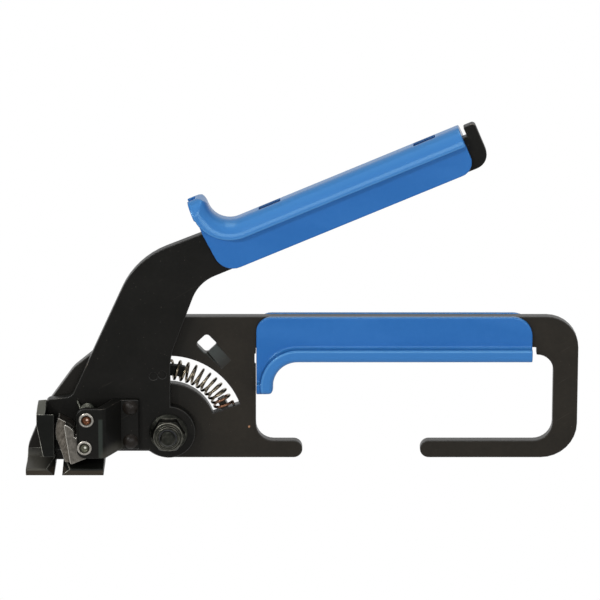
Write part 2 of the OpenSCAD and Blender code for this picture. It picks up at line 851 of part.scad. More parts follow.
// The cap on the end of a horn w wide, l long from z, with its end rounded by end_r and across by r
module horn_cap(x0, w, y, z, l, way, r, end_r) {
    top = way * l;
    root = -way * bead_w;
    side = bead_w / 2;
    intersection() {
        translate([x0, y, z])
            mirror([0, 0, way > 0 ? 0 : 1])
                linear_extrude(height = l)
                    mirror([1, -1, 0])
                        bead_section(0, w, r);
        between(y - bead_w, y + bead_w)
            outline([
                [x0 - cut, z + root, 0], [x0 - cut, z + top, 0],
                [x0 + w, z + top, end_r], [x0 + w, z + root, 0]]);
        translate([x0 + w / 2, 0, z])
            rotate([0, 0, 90])
                between(-w, w)
                    outline([
                        [y - side, root, 0], [y - side, top, r], [y + side, top, r],
                        [y + side, root, 0]]);
    }
}

// The web that fills the outer corner of a horn's turn, down to the middle of the bead
module horn_web(x, z, horn_r, h, way) {
    reach = horn_r + horn_w;
    difference() {
        translate([x - reach, way > 0 ? z : z - reach])
            square([reach, reach]);
        translate([x, z])
            circle(r = horn_r + h / 2, $fn = 96);
    }
}

module frame_grip() {
    color(grip_blue)
    difference() {
        union() {
            between(frame_front - frame_grip_wall, frame_back + frame_grip_wall) {
                outline([
                    [frame_grip_left, frame_bead_top - frame_bead_h / 2, 0],
                    [frame_grip_left, frame_grip_top, frame_wall_r[0]],
                    [frame_grip_right, frame_grip_top, frame_wall_r[1]],
                    [frame_grip_right, frame_bead_top - frame_bead_h / 2, 0]]);
                horn_web(frame_horn_x, frame_crown - frame_horn_r, frame_horn_r, frame_bead_h, 1);
            }
            bead_run(frame_horn_x, frame_grip_right, plate_mid, frame_bead_top, -frame_bead_h, frame_bead_r);
            bead_turn(frame_horn_x, plate_mid, frame_crown - frame_horn_r, frame_horn_r, frame_bead_h,
                frame_bead_r, 90);
            horn_cap(frame_grip_left, horn_w, plate_mid, frame_crown - frame_horn_r + frame_cap_lap,
                frame_horn_l + frame_cap_lap, -1, frame_bead_r, frame_cap_r);
        }
        between(frame_front, frame_back)
            frame_outline();
        between(frame_front, frame_back)
            translate([frame_grip_left - cut, frame_top])
                square([frame_grip_right - frame_grip_left + 2 * cut, frame_grip_rise + cut]);
    }
}

// Lever

function throat_at(z) = throat[0] + (z - throat[1]) / tan(neck_slope);
function brow_line(z) = brow[0] - (brow[1] - z) / tan(brow_slope);
// The point where the neck's right edge meets the handle's lower edge
function crotch() =
    let (low = handle_point(0, handle_low), rise = tan(handle_angle), steep = tan(neck_slope))
    let (x = (low[1] - low[0] * rise - throat[1] + throat[0] * steep) / (steep - rise))
    [x, throat[1] + (x - throat[0]) * steep];

module lever_outline() {
    tip = [[handle_l, handle_low, tip_corner_r], [handle_l, tip_top, crown_end_r],
        [tip_u, tip_top, small_r], [tip_u, handle_top, 0],
        [shoulder_u, handle_top, small_r], [shoulder_u, shoulder_v, small_r]];
    corner_at = crotch();
    difference() {
        union() {
            outline(concat(
                [[throat[0], throat_low_z, 0],
                 [throat[0], throat[1], throat_r],
                 [corner_at[0], corner_at[1], crotch_r]],
                [for (p = tip) concat(handle_point(p[0], p[1]), [p[2]])],
                [[brow[0], brow[1], brow_r],
                 [brow_line(lever_nose_top), lever_nose_top, nose_fillet_r],
                 [nose_lip[0] - lever_nose_left, lever_nose_top - nose_fall, small_r],
                 [-lever_nose_left, lever_nose_top - nose_fall - nose_lip[1], 0],
                 [-lever_nose_left, -lever_nose_bottom, small_r],
                 [0, -lever_nose_bottom, 0]]));
            circle(r = boss_r, $fn = 128);
        }
        circle(r = bush_r + run_fit);
    }
}

module lever_plate() {
    color(lever_black)
    difference() {
        between(lever_front, lever_back)
            lever_outline();
        for (at = rivet_at)
            rod(at, rivet_r + seat_fit, lever_front - cut, lever_back + cut);
        for (at = [stop_at, pin_at])
            rod(at, pin_r + seat_fit, lever_front - cut, lever_back + cut);
        for (share = post_rivet_shares)
            rod(post_rivet(share), post_rivet_r + seat_fit, lever_front - cut, lever_back + cut);
        for (at = jaw_screw_at)
            jaw_screw(at, seat_fit);
        rod(torsion_anchor, torsion_wire_r + run_fit, lever_front - cut, lever_front + anchor_depth + seat_fit);
    }
}

// The left end of the lever grip's wall at a height v; it leans in above and below the crown
function lever_end_u(v) =
    v < lever_crown
        ? lever_grip_left + grip_lean * (lever_crown - v) / (lever_crown - lever_grip_low)
        : lever_grip_left + horn_lean * (v - lever_crown) / lever_horn_r;

module lever_grip_shell() {
    mid_v = lever_crown - lever_bead_h / 2;
    low_v = mid_v - bead_w;
    high_v = lever_crown + lever_horn_r;
    between(lever_front - lever_grip_wall, lever_back + lever_grip_wall) {
        outline([
            [lever_end_u(lever_grip_low), lever_grip_low, wall_corner_r],
            [lever_end_u(mid_v), mid_v, 0],
            [lever_grip_right, mid_v, 0],
            [lever_grip_right, lever_grip_low, grip_end_r]]);
        difference() {
            horn_web(lever_horn_u, high_v, lever_horn_r, lever_bead_h, -1);
            polygon([
                [lever_grip_left - cut, low_v], [lever_end_u(low_v), low_v],
                [lever_grip_left, lever_crown], [lever_end_u(high_v), high_v],
                [lever_end_u(high_v), high_v + cut], [lever_grip_left - cut, high_v + cut]]);
        }
    }
    bead_run(lever_horn_u, lever_grip_right, lever_mid, lever_crown - lever_bead_h, lever_bead_h,
        lever_bead_r);
    intersection() {
        bead_turn(lever_horn_u, lever_mid, lever_crown + lever_horn_r, lever_horn_r, lever_bead_h,
            lever_bead_r, 180);
        translate([lever_grip_left, lever_mid - bead_w, lever_crown - bead_w])
            cube(3 * bead_w);
    }
    horn_cap(lever_grip_left - lever_cap_rise, horn_w + lever_cap_rise, lever_mid,
        lever_crown + lever_horn_r - lever_cap_lap, lever_horn_l + lever_cap_lap, 1, lever_bead_r,
        lever_cap_r);
}

module lever_grip() {
    color(grip_blue)
    difference() {
        handle()
            difference() {
                lever_grip_shell();
                for (share = window_shares)
                    translate([
                            lever_horn_u + share * (lever_grip_right - lever_horn_u) - window_l / 2,
                            lever_mid - window_w / 2, lever_crown - window_depth])
                        cube([window_l, window_w, window_depth + cut]);
                translate([lever_grip_left - lever_cap_rise - cut, lever_mid - horn_window[1] / 2,
                        lever_crown + lever_horn_r + lever_horn_l - window_depth])
                    cube([horn_window[0] + cut, horn_window[1], window_depth + cut]);
            }
        between(lever_front, lever_back)
            lever_outline();
    }
}

module spring_post() {
    color(lever_black)
    difference() {
        union() {
            between(lever_back, frame_back - plate_gap / 2)
                arc_band(slot_in_r + post_clear, slot_out_r - post_clear, post_face_angle, post_back_a);
            between(plate_mid - tab_t / 2, plate_mid + tab_t / 2)
                arc_band(spring_path_r - tab_w / 2, spring_path_r + tab_w / 2,
                    post_face_angle - tab_l / spring_path_r * arc_deg, post_face_angle + 2);
        }
        for (share = post_rivet_shares)
            rod(post_rivet(share), post_rivet_r + seat_fit, lever_back - cut, frame_back + cut);
    }
}

module post_rivets() {
    color(fastener_black)
    for (share = post_rivet_shares)
        rod(post_rivet(share), post_rivet_r, lever_front, frame_back - plate_gap / 2);
}

module anvil_jaw() {
    color(lever_black)
    difference() {
        union() {
            // The outer leg wraps the end of the lever plate; its top falls to the front
            intersection() {
                between(jaw_front, lever_back)
                    outline([
                        [-lever_nose_left, leg_back_z, 0],
                        [-jaw_left, leg_back_z - leg_side_fall, 0],
                        [-jaw_left, leg_bend_z, cove_r],
                        [-leg_foot_x, -jaw_bottom, small_r],
                        [-lever_nose_left, -jaw_bottom, 0]]);
                translate([-jaw_left - cut, 0, 0])
                    rotate([90, 0, 90])
                        linear_extrude(jaw_leg_t + 2 * cut)
                            polygon([
                                [lever_back, -jaw_bottom - cut], [lever_back, leg_back_z - leg_back_fall],
                                [lever_front, leg_back_z], [jaw_front, anvil_top],
                                [jaw_front, -jaw_bottom - cut]]);
            }
            // The anvil; its top falls away to the back
            translate([-lever_nose_left, 0, 0])
                rotate([90, 0, 90])
                    linear_extrude(lever_nose_left - anvil_x)
                        polygon([
                            [lever_front, -jaw_bottom], [lever_front, anvil_top - anvil_fall],
                            [jaw_front, anvil_top], [jaw_front, -jaw_bottom]]);
        }
        for (at = jaw_screw_at)
            jaw_screw(at, seat_fit);
    }
}

// A screw with a round head let into the back of the lever plate; play widens it to cut its hole
module jaw_screw(at, play) {
    rod(at, jaw_screw_r + play, lever_back - jaw_screw_l - play, lever_back);
    rod(at, jaw_screw_head_r + play, lever_back - jaw_screw_head_h - play, lever_back + play);
}

module jaw_screws() {
    color(fastener_black)
    for (at = jaw_screw_at)
        jaw_screw(at, 0);
}

// The bracket seen from above: a flange on the lever, a web and a front plate
module bracket_section() {
    t = bracket_t;
    run = flange_left - web_left;
    rise = bracket_front + t - lever_front;
    web_l = norm([run, rise]);
    side = t * web_l / -rise;
    skew = t * (web_l + run) / -rise;
    polygon(rounded([
        [-flange_right, lever_front, 0],
        [-flange_right, lever_front - t, small_r],
        [-flange_left + side - skew, lever_front - t, bend_r],
        [-web_left + side - skew, bracket_front, bend_r + t],
        [-bracket_left, bracket_front, small_r],
        [-bracket_left, bracket_back, small_r],
        [-web_left - skew, bracket_back, bend_r],
        [-flange_left - skew, lever_front, bend_r]]));
}

module gripper_bracket() {
    color(lever_black)
    difference() {
        intersection() {
            translate([0, 0, -bracket_bottom])
                linear_extrude(bracket_top + bracket_bottom)
                    bracket_section();
            between(bracket_front - cut, lever_front + cut)
                outline([
                    [-bracket_left, -bracket_bottom, bracket_corner_r],
                    [-bracket_left, bracket_top, bracket_corner_r],
                    [-flange_right, bracket_top, small_r],
                    [-flange_right, -bracket_bottom, small_r]]);
        }
        for (at = rivet_at)
            rod(at, rivet_r + seat_fit, bracket_front - cut, lever_front + cut);
        for (at = [stop_at, pin_at])
            rod(at, pin_r + seat_fit, bracket_front - cut, lever_front + cut);
    }
}

module bracket_rivets() {
    color(fastener_black)
    for (at = rivet_at)
        turned(at, lever_back)
            difference() {
                body = plate_t + bracket_t;
                dome_r = (rivet_head_r * rivet_head_r + rivet_dome_h * rivet_dome_h) / (2 * rivet_dome_h);
                union() {
                    square([rivet_r, body]);
                    intersection() {
                        translate([0, body + rivet_dome_h - dome_r])
                            circle(r = dome_r, $fn = 96);
                        translate([0, body])
                            square([rivet_head_r, rivet_dome_h]);
                    }
                }
                translate([-dome_r, -dome_r])
                    square([dome_r, 4 * dome_r]);
            }
}

// A pin riveted into the lever plate, with a cupped head on the bracket's front
module headed_pin(at) {
    l = lever_back - bracket_front;
    turned(at, lever_back)
        polygon(rounded([
            [0, 0, 0], [pin_r, 0, 0], [pin_r, l, 0], [pin_head_r, l, 0],
            [pin_head_r, l + pin_head_h, pin_head_h / 2], [pin_cup_r, l + pin_head_h, 0],
            [pin_cup_r * 0.7, l + pin_head_h - pin_cup_h, 0], [0, l + pin_head_h - pin_cup_h, 0]]));
}

module stop_pin() {
    color(bright_steel)
        headed_pin(stop_at);
}

module gripper_pin() {
    color(bright_steel)
        headed_pin(pin_at);
}

module return_spring() {
    color(bright_steel)
        tube(spring_path(), spring_wire_r, [0, 1, 0]);
}

module gripper_spring() {
    color(bright_steel)
        tube(torsion_path(), torsion_wire_r, [1, 0, 0]);
}

// Gripper

// The toothed edge: an arc whose radius steps out and in for each tooth
function cam_edge() =
    [for (k = [0 : 2 * teeth])
        cam_mid + polar(cam_r - (k % 2 == 0 ? tooth_h : 0),
            cam_top_angle + (cam_low_angle - cam_top_angle) * k / (2 * teeth))];

module gripper_bore() {
    translate(pin_at)
        circle(r = gripper_bush_r + seat_fit);
}

// The dowels' holes go through the pawl and stop short of the cheek's front
module dowel_holes() {
    for (at = dowel_at)
        rod(at, dowel_r + seat_fit, cheek_front + dowel_cover - seat_fit, pawl_back + cut);
}

module pawl_outline() {
    difference() {
        union() {
            polygon(concat(
                cam_edge(),
                [pawl_tip, pawl_tip + [pawl_tip_w, 0], pawl_heel, cheek_heel,
                 pin_at, [pawl_back_x, pawl_back_z[0]], [pawl_back_x, pawl_back_z[1]], pawl_crest]));
            translate(pin_at)
                circle(r = pin_boss_r);
        }
        gripper_bore();
    }
}

module gripper_pawl() {
    color(tool_steel)
        difference() {
            between(pawl_front, pawl_back)
                pawl_outline();
            dowel_holes();
        }
}

module gripper_cheek() {
    color(tool_steel)
    difference() {
        between(cheek_front, pawl_front)
            difference() {
                union() {
                    outline([
                        [cheek_top[0], cheek_top[1], small_r],
                        [cheek_toe[0], cheek_toe[1], small_r],
                        [cheek_heel[0], cheek_heel[1], small_r],
                        [pin_at[0], pin_at[1], 0],
                        [pawl_back_x, pawl_back_z[0], 0],
                        [pawl_back_x, pawl_back_z[1], cheek_r],
                        [pawl_crest[0], pawl_crest[1], cheek_r]]);
                    translate(pin_at)
                        circle(r = pin_boss_r);
                }
                gripper_bore();
            }
        dowel_holes();
    }
}

module gripper_bush() {
    color(bronze)
    difference() {
        rod(pin_at, gripper_bush_r, cheek_front, pawl_back);
        rod(pin_at, pin_r + run_fit, cheek_front - cut, pawl_back + cut);
    }
}

module gripper_dowels() {
    color(bright_steel)
    for (at = dowel_at)
        rod(at, dowel_r, cheek_front + dowel_cover, pawl_back);
}

// Pivot

module pivot_bush() {
    color(bronze)
    difference() {
        rod([0, 0], bush_r, nut_face, frame_front);
        rod([0, 0], bolt_r + seat_fit, nut_face - cut, frame_front + cut);
    }
}

module thrust_washer() {
    color(bright_steel)
    difference() {
        rod([0, 0], washer_r, lever_back, frame_front);
        rod([0, 0], bush_r + run_fit, lever_back - cut, frame_front + cut);
    }
}

module pivot_washer() {
    color(fastener_black)
    difference() {
        rod([0, 0], washer_r, frame_back, frame_back + washer_t);
        rod([0, 0], bolt_r + seat_fit, frame_back - cut, frame_back + washer_t + cut);
    }
}

// A hexagon with its corners turned off, from the depth z0 to z1
module hex_body(z0, z1) {
    turned_r = hex_af / 2 * hex_corner_share;
    face_r = hex_af / 2 * hex_face_share;
    intersection() {
        translate([0, 0, z0])
            cylinder(h = z1 - z0, d = hex_af / cos(30), $fn = 6);
        rotate_extrude()
            polygon([[0, z0], [turned_r, z0], [turned_r, z1 - washer_t], [face_r, z1], [0, z1]]);
    }
}

module flange_disc(h) {
    rotate_extrude()
        polygon(rounded([
            [0, 0, 0], [flange_r, 0, 0], [flange_r, h / 3, h / 6], [hex_af / 2, h, 0], [0, h, 0]]));
}

module pivot_bolt() {
    seat = frame_back + washer_t;
    reach = seat - nut_face + bolt_out;
    color(fastener_black)
    translate([0, seat, 0]) {
        rotate([-90, 0, 0])
            union() {
                flange_disc(head_flange_h);
                hex_body(head_flange_h / 2, head_h);
            }
        rotate([90, 0, 0])
            rotate_extrude()
                polygon([[0, 0], [bolt_r, 0], [bolt_r, reach - thread_chamfer],
                    [bolt_r - thread_chamfer, reach], [0, reach]]);
    }
}

module pivot_nut() {
    color(fastener_black)
    translate([0, nut_face, 0])
        rotate([90, 0, 0])
            difference() {
                union() {
                    flange_disc(nut_flange_h);
                    hex_body(nut_flange_h / 2, nut_h);
                    cylinder(h = nut_h + insert_h, r = collar_r);
                }
                translate([0, 0, -cut])
                    cylinder(h = nut_h + insert_h + 2 * cut, r = bolt_r + seat_fit);
                translate([0, 0, nut_h])
                    cylinder(h = insert_h - collar_wall, r = collar_r - collar_wall);
                translate([0, 0, nut_h])
                    cylinder(h = insert_h + cut, r = collar_r - 2 * collar_wall);
            }
}

module nut_insert() {
    color(grip_blue)
    translate([0, nut_face - nut_h, 0])
        rotate([90, 0, 0])
            difference() {
                cylinder(h = insert_h - collar_wall, r = collar_r - collar_wall);
                translate([0, 0, -cut])
                    cylinder(h = insert_h + 2 * cut, r = bolt_r + seat_fit);
            }
}

place() {
    frame_plate();
    foot_left();
    foot_right();
    foot_screws();
    frame_grip();
    pivot_bolt();
    pivot_washer();
    pivot_bush();
    thrust_washer();
    pivot_nut();
    nut_insert();
    return_spring();
    lever_plate();
    lever_grip();
    spring_post();
    post_rivets();
    anvil_jaw();
    jaw_screws();
    gripper_bracket();
    bracket_rivets();
    stop_pin();
    gripper_pin();
    gripper_spring();
    gripper_pawl();
    gripper_cheek();
    gripper_bush();
    gripper_dowels();
}
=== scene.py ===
# Looks of the cable tie tensioning tool: rounded pieces, finishes, lights and camera.
# Lengths are millimetres and places are about the pivot bolt, as in the part's source.
# The floor, the lights and the camera are in metres.
import json
import math

import bmesh
import bpy
from mathutils import Matrix, Vector


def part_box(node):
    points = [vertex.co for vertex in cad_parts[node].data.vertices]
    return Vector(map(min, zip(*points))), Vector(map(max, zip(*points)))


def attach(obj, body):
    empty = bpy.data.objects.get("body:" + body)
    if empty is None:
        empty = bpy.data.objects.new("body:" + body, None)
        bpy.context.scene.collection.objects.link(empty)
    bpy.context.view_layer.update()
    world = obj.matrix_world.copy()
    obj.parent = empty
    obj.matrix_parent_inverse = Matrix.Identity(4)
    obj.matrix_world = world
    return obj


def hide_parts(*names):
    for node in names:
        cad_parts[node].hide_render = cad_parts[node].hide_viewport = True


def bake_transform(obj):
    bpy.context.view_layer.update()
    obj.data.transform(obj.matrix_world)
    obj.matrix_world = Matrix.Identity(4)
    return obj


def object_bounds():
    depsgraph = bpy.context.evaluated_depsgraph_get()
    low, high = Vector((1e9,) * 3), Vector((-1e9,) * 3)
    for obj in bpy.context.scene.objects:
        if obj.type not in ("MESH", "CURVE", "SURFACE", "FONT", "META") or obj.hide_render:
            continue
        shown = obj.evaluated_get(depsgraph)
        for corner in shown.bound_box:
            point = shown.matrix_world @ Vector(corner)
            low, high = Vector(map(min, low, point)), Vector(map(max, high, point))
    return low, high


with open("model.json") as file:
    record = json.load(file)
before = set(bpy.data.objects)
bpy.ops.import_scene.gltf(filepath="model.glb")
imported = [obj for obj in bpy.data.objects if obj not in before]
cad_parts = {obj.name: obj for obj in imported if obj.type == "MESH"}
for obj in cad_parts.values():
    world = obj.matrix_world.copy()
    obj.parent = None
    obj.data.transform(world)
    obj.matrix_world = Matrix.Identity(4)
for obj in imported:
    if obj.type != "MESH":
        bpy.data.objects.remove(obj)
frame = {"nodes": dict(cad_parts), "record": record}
cad_low, cad_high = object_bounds()

MM = 0.001
BODY = {
    node: body
    for body, nodes in frame["record"]["behaviour"]["bodies"].items()
    for node in nodes
}

# Sizes and places that the part's source has too
TIE_SLOT_X = 43.9
FOOT_DEPTH = 17.5
FOOT_BOTTOM = 14.2
PLATE_MID = 2.2
LEVER_MID = -2.8
HANDLE_ANGLE = 23.0
BEAD_W = 16.0
LEVER_BEAD_H = 7.2
FRAME_BEAD_H = 5.4
LEVER_HORN_R = 9.0
FRAME_HORN_R = 9.8
STOP_AT = (-32.2, 9.9)
PIN_AT = (-33.1, -1.7)

# The frame's origin is on the floor, in the middle of the tie's slot between the feet
PIVOT = Vector((TIE_SLOT_X, FOOT_DEPTH / 2, FOOT_BOTTOM))


def spot(x, y, z):
    """A point of the model, in metres, from millimetres about the pivot."""
    return (Vector((x, y, z)) + PIVOT) * MM


def srgb(r, g, b):
    """A linear colour with alpha from 0-255 screen values."""
    steps = [c / 255 for c in (r, g, b)]
    linear = [c / 12.92 if c <= 0.04045 else ((c + 0.055) / 1.055) ** 2.4 for c in steps]
    return (*linear, 1.0)


# Shader sums


class Value:
    """A socket that sums can use like a number."""

    def __init__(self, nodes, socket):
        self.nodes = nodes
        self.socket = socket

    def __add__(self, other):
        return self.nodes.math("ADD", self, other)

    def __radd__(self, other):
        return self.nodes.math("ADD", other, self)

    def __sub__(self, other):
        return self.nodes.math("SUBTRACT", self, other)

    def __rsub__(self, other):
        return self.nodes.math("SUBTRACT", other, self)

    def __mul__(self, other):
        return self.nodes.math("MULTIPLY", self, other)

    def __rmul__(self, other):
        return self.nodes.math("MULTIPLY", other, self)

    def sine(self):
        return self.nodes.math("SINE", self)

    def root(self):
        return self.nodes.math("SQRT", self)

    def size(self):
        return self.nodes.math("ABSOLUTE", self)

    def least(self, other):
        return self.nodes.math("MINIMUM", self, other)

    def most(self, other):
        return self.nodes.math("MAXIMUM", self, other)

    def ramp(self, none, full):
        """0 at none and beyond, 1 at full and beyond, smooth between; either may be larger."""
        return self.nodes.node(
            "ShaderNodeMapRange",
            {"interpolation_type": "SMOOTHSTEP"},
            {0: self, 1: none, 2: full},
        )

    def band(self, rise, fall):
        """Grows from 0 to 1 over the first two values and back to 0 over the other two."""
        return self.ramp(rise[0], rise[1]) * self.ramp(fall[1], fall[0])


class Nodes:
    """The nodes of a material or of the sky."""

    def __init__(self, tree):
        self.tree = tree

    def fill(self, node, sockets):
        """Gives a node's sockets their values or links."""
        for key, value in sockets.items():
            if isinstance(value, Value):
                self.tree.links.new(value.socket, node.inputs[key])
            else:
                node.inputs[key].default_value = value

    def node(self, kind, settings, sockets, out=0):
        """Adds a node with its settings and sockets, and gives one of its outputs."""
        made = self.tree.nodes.new(kind)
        for key, value in settings.items():
            setattr(made, key, value)
        self.fill(made, sockets)
        return Value(self, made.outputs[out])

    def math(self, kind, a, b=0.0):
        return self.node("ShaderNodeMath", {"operation": kind}, {0: a, 1: b})

    def vector(self, kind, a, b, out=0):
        return self.node("ShaderNodeVectorMath", {"operation": kind}, {0: a, 1: b}, out)

    def part(self, vector, axis):
        """A vector's X, Y or Z."""
        return self.node("ShaderNodeSeparateXYZ", {}, {0: vector}, axis)


class Shader(Nodes):
    """A material. Its places are in millimetres of the model."""

    def __init__(self, name):
        self.material = bpy.data.materials.new(name)
        self.material.use_nodes = True
        super().__init__(self.material.node_tree)
        self.surface = self.tree.nodes["Principled BSDF"]
        metres = self.node("ShaderNodeTexCoord", {}, {}, "Object")
        self.place = self.vector("MULTIPLY", metres, (1 / MM,) * 3)

    def noise(self, per_mm, detail=4.0, rough=0.6, stretch=(1, 1, 1), turn=0.0, bend=0.0):
        """Noise from 0 to 1, turned about Y; stretch below 1 lengthens the grain that way."""
        vector = self.place
        if turn:
            vector = self.node(
                "ShaderNodeVectorRotate",
                {"rotation_type": "Y_AXIS"},
                {"Vector": vector, "Angle": math.radians(turn)},
            )
        sockets = {
            "Vector": self.vector("MULTIPLY", vector, stretch),
            "Scale": per_mm,
            "Detail": detail,
            "Roughness": rough,
            "Distortion": bend,
        }
        return self.node("ShaderNodeTexNoise", {}, sockets)

    def along(self, axis):
        """How far the place is from the pivot along X, Y or Z."""
        return self.part(self.vector("SUBTRACT", self.place, tuple(PIVOT)), axis)

    def radius(self, x, z):
        """How far the place is from a line along Y at x and z about the pivot."""
        arm = self.vector("SUBTRACT", self.place, (x + PIVOT.x, 0, z + PIVOT.z))
        flat = self.vector("MULTIPLY", arm, (1, 0, 1))
        return self.node("ShaderNodeVectorMath", {"operation": "LENGTH"}, {0: flat}, "Value")

    def facing(self, way):
        """1 on a surface that faces that way, 0 on one across it."""
        normal = self.node("ShaderNodeNewGeometry", {}, {}, "Normal")
        return self.vector("DOT_PRODUCT", normal, way, "Value")

    def mix(self, fac, a, b):
        """Colour a where fac is 0 and b where it is 1. A plain colour is screen values."""
        a, b = (c if isinstance(c, Value) else srgb(*c) for c in (a, b))
        return self.node("ShaderNodeMix", {"data_type": "RGBA"}, {0: fac, 6: a, 7: b}, 2)

    def bump(self, height, depth):
        return self.node("ShaderNodeBump", {}, {"Height": height, "Distance": depth * MM})

    def finish(self, color, rough, metal, height, depth, level=0.5, tint=(1, 1, 1, 1)):
        sockets = {
            "Base Color": color,
            "Roughness": rough,
            "Metallic": metal,
            "Normal": self.bump(height, depth),
            "Specular IOR Level": level,
            "Specular Tint": tint,
        }
        self.fill(self.surface, sockets)
        return self.material


# Finishes

UP = (0.0, 0.0, 1.0)
TO_FRONT = (0.0, -1.0, 0.0)
UP_AND_LEFT = (-0.8, 0.0, 0.6)
BARE_SCRATCH = (128, 121, 112)
BLUE = ((36, 100, 172), (44, 107, 179))
# Painted light and shade on the blue grips: paler facing up and on the bead, a highlight on the
# lip, shade in the crease and the slots
BLUE_TOP_LIGHT = (52, 117, 178)
BLUE_BEAD_LIGHT = (66, 128, 192)
BLUE_LIP_HIGHLIGHT = (90, 150, 205)
BLUE_CREASE_SHADE = (22, 70, 132)
BLUE_SLOT_SHADE = (32, 76, 134)
BLUE_DUST = (150, 175, 205)
BLUE_SHINE = (0.55, 0.9, 1, 1)
# Painted shade round the pins' cups
SHADE_ROUND_CUP = (30, 28, 25)
RUST_STAIN = (58, 46, 36)
COPPERY = (112, 80, 62)
SPRING_SEAT = (22.4, 9.4)
RING_PITCH = 0.2
CUP_R = 1.75
GRAIN_DEPTH = 0.008
LATHE_DEPTH = 0.006

# The lever grip's slots get painted shade, which fades out between two half widths and two half
# lengths
GRIP_SLOT_Y = -2.6
GRIP_SLOT_HALF_W = (2.95, 2.75)
GRIP_SLOT_HALF_L = (4.6, 4.5)


def black_steel(name, dark, light, matt=0.5, level=0.13, mark=None):
    """Blackened plate: cloudy tone, fine grain, a few faint scratches and pale specks.

    Here and below, matt is the mean roughness and level the specular level.
    """
    s = Shader(name)
    cloud = s.noise(0.07, detail=5.0)
    patch = s.noise(0.6, detail=5.0, rough=0.65)
    grain = s.noise(7.0, detail=3.0)
    tone = (0.55 * cloud + 0.3 * patch + 0.3 * grain - 0.075).ramp(0.3, 0.72)
    lines = s.noise(1.1, detail=2.0, rough=0.5, stretch=(0.04, 1, 1.4), turn=31.0, bend=0.4)
    scratch = lines.ramp(0.7, 0.78)
    speck = s.noise(1.5, detail=2.0, rough=0.5).ramp(0.735, 0.765)
    paint = s.mix(tone, dark, light)
    if mark:
        paint = mark(s, paint)
    color = s.mix(0.07 * scratch + 0.25 * speck, paint, BARE_SCRATCH)
    rough = matt + 0.14 * (patch - 0.5) + 0.1 * (grain - 0.5)
    return s.finish(color, rough, 0.0, grain + 0.5 * patch, GRAIN_DEPTH, level)


def worn_edge_and_highlight(name, base, bare, cover, matt=0.36, level=0.3, down_right_shade=0.0, mark=None):
    """The rounded rim or cut wall of a blackened piece, rubbed through in places.

    cover is how much of it stays black, and the down-and-right shade is how far the rims that
    face
    down and to the right keep their black: painted shade there, so that the rubbed metal shows as
    a painted highlight on the rims that face up and to the left, where the light falls.
    """
    s = Shader(name)
    broad = s.noise(0.2)
    fine = s.noise(2.6, rough=0.65)
    rub = (0.6 * broad + 0.4 * fine).ramp(cover, cover + 0.16)
    # Painted highlight: rims that face up and to the left rub through more, and rims that face
    # down and to the right keep their black as painted shade
    if down_right_shade:
        rub = rub * (s.facing(UP_AND_LEFT).ramp(-0.15, 0.3) * down_right_shade + (1 - down_right_shade))
    paint = mark(s, base) if mark else base
    color = s.mix(rub, paint, bare)
    rough = matt - 0.08 * rub + 0.14 * (fine - 0.5)
    return s.finish(color, rough, 0.8 * rub, fine, GRAIN_DEPTH, level)


def moulded_blue(name, slope, horn_at, horn_r, bead_h, bead_front, slots=()):
    """Moulded vinyl: even blue, slight flow marks, fine skin, soft shine and a bead.

    Light and shade are painted on: paler where it faces up and on the bead, a painted highlight
    along the bead's lip, and painted shade in the crease under the bead and round the slots.
    The bead runs along the side of the grip that has the horn, and on round the horn's inner
    curve. slope is the grip's angle, horn_at the middle of that curve, along the grip and
    across it, and slots are the middles of the slots with painted shade, along the grip.
    """
    s = Shader(name)
    flow = s.noise(0.05, detail=3.0, rough=0.5, stretch=(0.35, 1, 1), bend=0.6)
    cloud = s.noise(0.5)
    skin = s.noise(5.5, detail=3.0, rough=0.55)
    dust = s.noise(2.2, detail=2.0, rough=0.5).ramp(0.72, 0.75)
    color = s.mix((0.8 * flow + 0.2 * cloud).ramp(0.34, 0.68), *BLUE)
    # Painted light: paler where the surface faces up
    color = s.mix(s.facing(UP).ramp(0.15, 1.0), color, BLUE_TOP_LIGHT)

    cos, sin = math.cos(math.radians(slope)), math.sin(math.radians(slope))
    x, y, z = s.along("X"), s.along("Y"), s.along("Z")
    along = x * cos + z * sin
    across = (z * cos - x * sin) - horn_at[1]
    round_horn = (along - horn_at[0]).least(0.0)
    past_bead = (round_horn * round_horn + across * across).root() - (horn_r + bead_h)
    behind = y - bead_front
    bead = past_bead.ramp(0.0, -0.8) * behind.ramp(3.0, 2.0)
    lip_highlight = past_bead.band((-1.1, -0.65), (-0.35, 0.15)) * behind.ramp(1.6, 1.0)
    crease_shade = past_bead.band((-0.1, 0.1), (0.35, 0.7)) * behind.ramp(1.6, 1.4).root()
    # Painted light on the bead, a painted highlight along its lip and painted shade in the crease
    # below it
    color = s.mix(0.6 * bead, color, BLUE_BEAD_LIGHT)
    color = s.mix(0.1 * dust, color, BLUE_DUST)
    color = s.mix(0.4 * lip_highlight, color, BLUE_LIP_HIGHLIGHT)
    color = s.mix(0.7 * crease_shade, color, BLUE_CREASE_SHADE)
    # Painted shade in and round the slots
    for slot in slots:
        wide = (y - GRIP_SLOT_Y).size().ramp(*GRIP_SLOT_HALF_W)
        long = (along - slot).size().ramp(*GRIP_SLOT_HALF_L)
        color = s.mix(wide * long, color, BLUE_SLOT_SHADE)

    rough = 0.25 + 0.04 * (cloud - 0.5) + 0.06 * (skin - 0.5) - 0.06 * bead
    height = skin + 0.2 * cloud
    return s.finish(color, rough, 0.0, height, GRAIN_DEPTH, level=0.4, tint=BLUE_SHINE)


